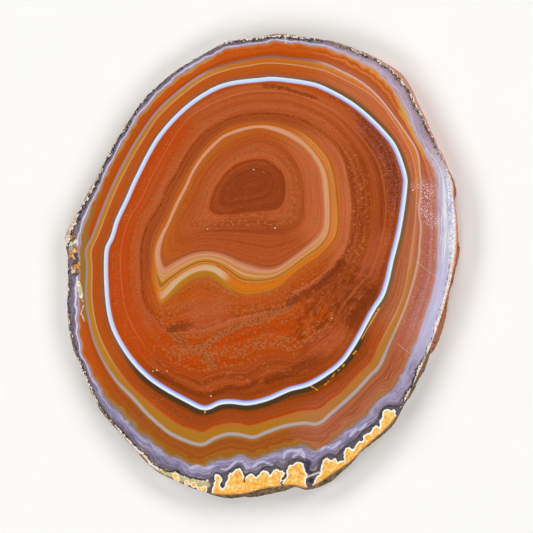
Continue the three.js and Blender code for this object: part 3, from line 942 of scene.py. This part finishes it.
# the lines themselves
lavender, tan, ring = distance("lavender"), distance("tan"), distance("ring")
lineHalf = wire.grade(shoulder, bySide(0.14, 0.1, 0.18), 0.08)
lineStroke = stroke(lavender, 0.0, lineHalf, bySide(0.3, 0.3, 0.55))
crownLine = wire.blend(wire.span(wire.field("amber"), 0.0, 0.6),
    wire.blend(shoulder, tint(164, 140, 152), tint(220, 172, 168)), tint(150, 100, 84))
lineTone = wire.blend(foot, wire.blend(right, crownLine, tint(210, 166, 154)), tint(180, 170, 172))
shade = wire.blend(times(lineStroke, 0.9), shade, lineTone)
tanTone = bySide(tint(216, 150, 108), tint(212, 140, 100), tint(186, 110, 62), wire.blend)
shade = wire.blend(times(stroke(tan, 0.0, 0.07, 0.2), 0.85), shade, tanTone)
waveStroke = stroke(distance("wave"), 0.0, 0.1, 0.25)
shade = wire.blend(times(waveStroke, 0.5), shade,
    bySide(tint(204, 104, 58), tint(190, 94, 44), tint(150, 58, 16), wire.blend))
dotted = wire.span(wire.noise(place, 1.5, 2.0), 0.4, 0.6)
foldStroke = stroke(distance("fold"), 0.1, 0.14, 0.3)
shade = wire.blend(times(foldStroke, dotted, 0.6, inverse(right)), shade, tint(128, 50, 14))

# the white ring: white outside, blue-violet inside, in a dark halo
halo = stroke(ring, bySide(wire.grade(shoulder, -0.45, -0.85), -0.85, -0.9),
    bySide(wire.grade(shoulder, 0.12, 0.3), 0.3, 0.7), 0.45)
haloTone = bySide(wire.blend(shoulder, tint(118, 84, 76), tint(110, 84, 46)), tint(112, 92, 58),
    tint(70, 54, 34), wire.blend)
shade = wire.blend(times(halo, bySide(0.65, 0.8, 0.86)), shade, haloTone)
ringPlace = times(ring, bySide(1.05, 0.95, 0.95))
ringTone = wire.ramp(ringPlace, [
    (-0.5, (214, 220, 235)), (-0.15, (240, 248, 255)), (0.15, (222, 236, 255)), (0.45, (184, 202, 252)),
    (0.8, (160, 168, 240)), (1.05, (160, 132, 170)), (1.3, (180, 100, 70)),
])
ringTone = wire.blend(bySide(wire.grade(shoulder, 0.6, 0.15), 0.1, 0.0), ringTone, tint(206, 226, 250))
ringMask = times(wire.span(ringPlace, -0.5, -0.22), wire.span(ringPlace, 1.25, 0.75))
shade = wire.blend(ringMask, shade, ringTone)

# the rind: clouded, with thin wandering lines along it and pale scallops at the foot
rind = times(within(1.02, 1.95), bySide(0.55, 0.4, 1.0))
cloud = wire.noise(place, 0.7, 5.0, 0.7)
shade = wire.blend(times(rind, wire.span(cloud, 0.5, 0.72), 0.3), shade, tint(200, 190, 206))
shade = wire.blend(times(rind, wire.span(cloud, 0.48, 0.28), 0.45), shade, tint(84, 74, 88))
rindLines = layered(13.0, 0.35, 2.0)
shade = wire.blend(times(rind, wire.span(rindLines, 0.53, 0.6), 0.4), shade, tint(196, 186, 210))
shade = wire.blend(times(rind, wire.span(rindLines, 0.47, 0.41), 0.4), shade, tint(96, 84, 104))
sunk = times(right, inverse(aloft))
shade = wire.blend(times(within(0.95, 1.9, 0.12), sunk, 0.8), shade, tint(192, 184, 218))
# White streaks on the right, stronger higher up: partly the stone's white fibres and partly painted
# glare of the light
fibresAndGlare = wire.span(layered(16.0, 0.12, 2.0), 0.53, 0.6)
fibreAndGlareShare = times(right, wire.grade(aloft, 0.35, 1.0))
shade = wire.blend(times(within(0.5, 1.95), fibreAndGlareShare, fibresAndGlare, 0.5), shade, tint(250, 250, 255))
fibreGaps = wire.span(layered(11.0, 0.14, 2.0), 0.46, 0.4)
shade = wire.blend(times(within(0.5, 1.9), fibreAndGlareShare, fibreGaps, 0.4), shade, tint(168, 166, 196))
crackle = wire.voronoi(place, 0.75, "DISTANCE_TO_EDGE", "Distance")
shade = wire.blend(times(within(0.45, 1.3), right, wire.span(crackle, 0.09, 0.02),
    wire.grade(aloft, 0.15, 0.7)), shade, tint(140, 154, 216))
scallop = plus(wire.field("scallop"), times(ragged, 0.12))
shade = wire.blend(times(wire.span(scallop, 0.15, 0.75), 0.85), shade, tint(204, 196, 226))
shade = wire.blend(wire.span(plus(wire.field("slate"), times(ragged, 0.3)), 0.3, 0.8), shade,
    tint(66, 62, 88))

# the open seam at the left: small bits of orange, cream and grey stone between dark cracks
jumble = wire.add("ShaderNodeTexNoise", {"Vector": place, "Scale": 0.9, "Detail": 3.0}).outputs["Color"]
jumbled = wire.vector("ADD", jumble, place)
bitShare = wire.add("ShaderNodeSeparateColor",
    {0: wire.voronoi(jumbled, 0.7, "F1", "Color")}).outputs[0]
bitTone = wire.ramp(bitShare, [
    (0, (92, 80, 84)), (0.25, (130, 112, 108)), (0.38, (232, 140, 40)), (0.55, (244, 206, 120)), (0.7,
        (214, 120, 60)),
    (0.82, (238, 226, 206)), (1, (150, 140, 120)),
])
cracks = wire.voronoi(jumbled, 0.7, "DISTANCE_TO_EDGE", "Distance")
bitTone = wire.blend(times(wire.span(cracks, 0.1, 0.02), 0.8), bitTone, tint(58, 46, 48))
shade = wire.blend(wire.span(plus(wire.field("vug"), times(ragged, 0.5)), 0.4, 0.55), shade, bitTone)
lens = wire.blend(wire.span(wire.noise(place, 0.6), 0.45, 0.55), tint(250, 246, 222),
    tint(206, 196, 150))
shade = wire.blend(wire.span(plus(wire.field("lens"), times(ragged, 0.2)), 0.4, 0.52), shade, lens)

# the jagged black line under the rind, and the pale crystals outside it
teeth = wire.noise(place, 1.35, 2.0, 0.7)
spiked = minus(distance("black"), times(centred(teeth), bySide(3.8, 2.0, 1.8)))
spiked = minus(spiked, bySide(wire.grade(shoulder, 0.3, 0.0), 0.0, 0.0))
crystal = wire.span(wire.noise(place, 2.2, 3.0, 0.7), 0.36, 0.52)
crystalTone = wire.blend(crystal, tint(206, 150, 96), tint(250, 242, 226))
nearCrust = wire.span(wire.field("in_crust"), -2.4, -1.4)
crystalTone = wire.blend(nearCrust, crystalTone, tint(100, 91, 102))
crystalReach = most(wire.span(spiked, -1.2, -0.75), nearCrust)
shade = wire.blend(times(wire.span(spiked, 0.05, -0.25), crystalReach,
    bySide(0.95, wire.grade(aloft, 0.95, 0.3), 0.95)), shade, crystalTone)
moss = plus(wire.field("moss"), times(ragged, 0.9))
shade = wire.blend(times(wire.span(moss, 0.35, 0.65), 0.9), shade, tint(198, 190, 134))
blackShare = bySide(0.92, times(wire.span(teeth, 0.5, 0.6), wire.grade(aloft, 0.8, 0.25)),
    wire.grade(nearCrust, 0.9, 0.3))
shade = wire.blend(times(stroke(spiked, 0.06, bySide(0.19, 0.13, 0.13), 0.18), blackShare), shade,
    tint(40, 32, 40))

# knobbly crust at the foot: gold lumps with pale scalloped rims, rust along the sawn edge
scallops = centred(wire.noise(place, 1.7, 3.0, 0.6))
crust = plus(wire.field("in_crust"), times(scallops, 0.9))
goldNoise = wire.noise(place, 0.9, 4.0, 0.65)
gold = wire.ramp(goldNoise, [
    (0.3, (238, 146, 44)), (0.42, (250, 174, 60)), (0.52, (253, 196, 88)), (0.6, (255, 216, 128)), (0.7,
        (255, 240, 190)),
])
gold = wire.blend(times(wire.span(wire.noise(place, 2.8, 3.0, 0.7), 0.56, 0.64), 0.7), gold,
    tint(255, 240, 200))
gold = wire.blend(times(wire.span(wire.noise(place, 2.1, 3.0, 0.7), 0.4, 0.32), 0.6), gold,
    tint(206, 104, 30))
knobTone = wire.blend(wire.span(crust, 0.25, 0.6), tint(255, 250, 234), gold)
edgeward = plus(wire.field("in_edge"), times(scallops, 0.8))
knobTone = wire.blend(times(wire.span(edgeward, 0.55, 0.2), 0.6), knobTone, tint(200, 96, 44))
shade = wire.blend(times(wire.span(crust, -0.42, -0.12), wire.span(crust, 0.05, -0.1), 0.85), shade,
    tint(38, 32, 40))
shade = wire.blend(wire.span(crust, -0.12, 0.06), shade, knobTone)
nugget = plus(wire.field("nugget"), times(scallops, 0.35))
nuggetTone = wire.blend(wire.span(nugget, 0.5, 0.66), tint(255, 246, 226), gold)
shade = wire.blend(wire.span(nugget, 0.36, 0.42), shade, nuggetTone)
shade = wire.blend(times(wire.span(wire.field("cleft"), 0.4, 0.7), 0.9), shade, tint(44, 34, 34))
pale = plus(wire.field("pale"), times(ragged, 0.2))
shade = wire.blend(times(wire.span(pale, 0.3, 0.8), 0.85), shade, tint(236, 226, 214))

# white grains, orange ticks and fine scratches
flatPlace = wire.vector("MULTIPLY", place, (1, 1, 0))


def spot(x, y, radius):
    return wire.span(wire.vector("DISTANCE", flatPlace, (x, y, 0)), radius, radius * 0.35)


# Mask of a straight stroke between two points
def dash(x1, y1, x2, y2, half):
    length = math.hypot(x2 - x1, y2 - y1)
    ux, uy = (x2 - x1) / length, (y2 - y1) / length
    fromStart = wire.vector("SUBTRACT", flatPlace, (x1, y1, 0))
    along = wire.vector("DOT_PRODUCT", fromStart, (ux, uy, 0))
    across = wire.vector("DOT_PRODUCT", fromStart, (-uy, ux, 0))
    overshoot = minus(wire.maths("ABSOLUTE", minus(along, length / 2)), length / 2)
    beyond = most(overshoot, 0.0)
    apart = wire.maths("SQRT", plus(times(beyond, beyond), times(across, across)))
    return wire.span(apart, half, half * 0.4)


tickWear = wire.span(wire.noise(place, 0.9, 2.0), 0.36, 0.5)
for x, y, radius in sparkles:
    shade = wire.blend(spot(x, y, radius), shade, tint(240, 222, 214))
for tick in ticks:
    shade = wire.blend(times(dash(*tick), tickWear), shade, tint(240, 156, 36))
for scratch in scratches:
    shade = wire.blend(times(dash(*scratch), 0.45), shade, tint(226, 200, 190))
# the polish reflects a little light, so the deep tones are laid a shade deeper
sheen = (0.0035, 0.0035, 0.0035, 1)
subtract = {"data_type": "RGBA", "blend_type": "SUBTRACT", "clamp_result": True}
wire.put(result, wire.add("ShaderNodeMix", {0: 1.0, 6: shade, 7: sheen}, **subtract).outputs[2])
print("stage: agate pattern wired")


# A material with its shader, laid on a mesh
def newMaterial(name, owner):
    material = bpy.data.materials.new(name)
    material.use_nodes = True
    material.node_tree.nodes.clear()
    wiring = Wiring(material.node_tree)
    shader = wiring.add("ShaderNodeBsdfPrincipled")
    wiring.add("ShaderNodeOutputMaterial", {"Surface": shader.outputs[0]})
    owner.materials.append(material)
    return wiring, shader


# Lays a colour and a roughness on the shader, and a bump of a strength and depth from a height
def dress(tone, roughness, height, strength, depth):
    bump = wire.add("ShaderNodeBump", {"Height": height, "Strength": strength, "Distance": depth})
    for name, source in (("Base Color", tone), ("Roughness", roughness), ("Normal", bump.outputs[0])):
        wire.put(shader.inputs[name], source)


agateIor = 1.54


# Polished face
wire, shader = newMaterial("polished_agate", mesh)
shader.inputs["IOR"].default_value = agateIor
place = wire.coordinates()
polishWear = wire.noise(place, 0.25, 4.0, 0.6)
waviness = wire.noise(place, 1.2, 3.0, 0.6)
pattern = wire.group(agateGroup, {"Vector": place})
dress(pattern, wire.span(polishWear, 0.3, 0.75, 0.1, 0.2), waviness, 0.03, 0.2 * millimetre)

# Sawn back: the same bands, duller, with the saw's curved marks
wire, shader = newMaterial("sawn_agate", mesh)
shader.inputs["IOR"].default_value = agateIor
place = wire.coordinates()
sawCentre = (-210, 60, 0)
sawMarks = wire.noise(wire.join(wire.vector("DISTANCE", place, sawCentre)), 1.4, 3.0, 0.7)
dust = wire.noise(place, 2.0, 4.0, 0.7)
dull = wire.blend(0.28, wire.group(agateGroup, {"Vector": place}), tint(186, 160, 142))
marked = wire.blend(wire.span(sawMarks, 0.5, 0.75, 0.0, 0.22), dull, tint(214, 196, 180))
dusty = wire.blend(wire.span(dust, 0.45, 0.8, 0.0, 0.2), marked, tint(150, 110, 84))
dress(dusty, wire.span(sawMarks, 0.2, 0.8, 0.42, 0.62), sawMarks, 0.25, 0.2 * millimetre)

# Natural husk round the rim
huskTones = {
    "footShade": (92, 68, 46), "clay": (148, 106, 72), "buff": (190, 150, 112), "russet": (190, 102,
        62), "rosy": (222, 148, 120), "olive": (150, 130, 88),
    "pit": (44, 32, 26),
}
wire, shader = newMaterial("husk", mesh)
place = wire.coordinates()
right, foot = wire.field("right"), wire.field("foot")
broad = wire.noise(place, 0.18, 4.0, 0.6)
gritty = wire.noise(place, 1.6, 5.0, 0.7)
chips = wire.noise(place, 0.7, 4.0, 0.6)
skinTone = tint(*huskTones["clay"])
# The dark tone laid over the husk at the foot is painted shade
for name, share in (
    ("buff", wire.span(broad, 0.35, 0.65)), ("russet", times(right, 0.8)), ("footShade", times(foot, 0.85)),
    ("olive", times(foot, wire.span(chips, 0.5, 0.58, 0.0, 0.8))), ("pit",
        wire.span(chips, 0.46, 0.38, 0.0, 0.8)),
    # The buff and pit laid from gritty follow the bump's height: paler on its rises, darker in its
    # hollows
    ("rosy", wire.span(wire.field("rosy"), 0.0, 0.5)), ("buff", wire.span(gritty, 0.5, 0.75, 0.0, 0.5)),
    ("pit", wire.span(gritty, 0.42, 0.25)),
):
    skinTone = wire.blend(share, skinTone, tint(*huskTones[name]))
dress(skinTone, wire.span(gritty, 0.2, 0.8, 0.92, 0.7), gritty, 0.8, 0.6 * millimetre)
print("stage: materials made")

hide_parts("agate_slab")
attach(agateSlice, "root")


# The floor, the lights and the camera
studio = {
    "floorSide": 3.0, "floorTone": (250, 249, 247), "floorGap": 0.00005,
    "lamps": 6, "lampReach": 0.9, "lampLift": 40, "lampSide": 0.55, "lampPower": 3.64, "fill": 0.05,
}
half, gap = studio["floorSide"] / 2, studio["floorGap"]
floorMesh = bpy.data.meshes.new("floor")
corners = [(-half, -half, -gap), (half, -half, -gap), (half, half, -gap), (-half, half, -gap)]
floorMesh.from_pydata(corners, [], [(0, 1, 2, 3)])
floor = bpy.data.objects.new("floor", floorMesh)
bpy.context.scene.collection.objects.link(floor)
wire, shader = newMaterial("paleTable", floorMesh)
paperGrain = wire.noise(wire.coordinates(), 0.05, 3.0)
floorTones = [tint(*[c - dip for c in studio["floorTone"]]) for dip in (0, 3)]
wire.put(shader.inputs["Base Color"], wire.blend(paperGrain, *floorTones))
shader.inputs["Roughness"].default_value = 0.9
shader.inputs["Specular IOR Level"].default_value = 0.1

for k in range(studio["lamps"]):
    turn = 2 * math.pi * (k + 0.5) / studio["lamps"]
    lift = math.radians(studio["lampLift"])
    lampPlace = Vector((math.cos(turn), math.sin(turn), math.tan(lift))) * studio["lampReach"]
    light = bpy.data.lights.new("lamp%d" % (k + 1), "AREA")
    light.shape = "DISK"
    light.size = studio["lampSide"]
    light.energy = studio["lampPower"]
    lamp = bpy.data.objects.new(light.name, light)
    lamp.location = lampPlace
    lamp.rotation_euler = (-lampPlace).to_track_quat("-Z", "Y").to_euler()
    bpy.context.scene.collection.objects.link(lamp)

world = bpy.data.worlds.new("studio")
world.use_nodes = True
background = world.node_tree.nodes["Background"]
background.inputs["Color"].default_value = (1, 1, 1, 1)
background.inputs["Strength"].default_value = studio["fill"]
bpy.context.scene.world = world

# The photograph's view: a long lens, looking down at 14 degrees off straight down
view = {"aim": (3.32, -1.2, 7), "lean": 14, "towards": 325, "distance": 666.25, "lens": 150}
lean, towards = math.radians(view["lean"]), math.radians(view["towards"])
back = Vector((math.cos(towards) * math.sin(lean), math.sin(towards) * math.sin(lean), math.cos(lean)))
rightward = (Vector((1, 0, 0)) - back * back.x).normalized()
upward = back.cross(rightward)
cameraData = bpy.data.cameras.new("camera")
cameraData.lens = view["lens"]
cameraData.sensor_width = 36
cameraData.clip_start = 0.01
camera = bpy.data.objects.new("camera", cameraData)
eye = (Vector(view["aim"]) + back * view["distance"]) * millimetre
turned = Matrix((rightward, upward, back)).transposed().to_4x4()
camera.matrix_world = Matrix.Translation(eye) @ turned
bpy.context.scene.collection.objects.link(camera)
bpy.context.scene.camera = camera
bpy.context.scene.view_settings.view_transform = "Standard"
print("stage: studio set")
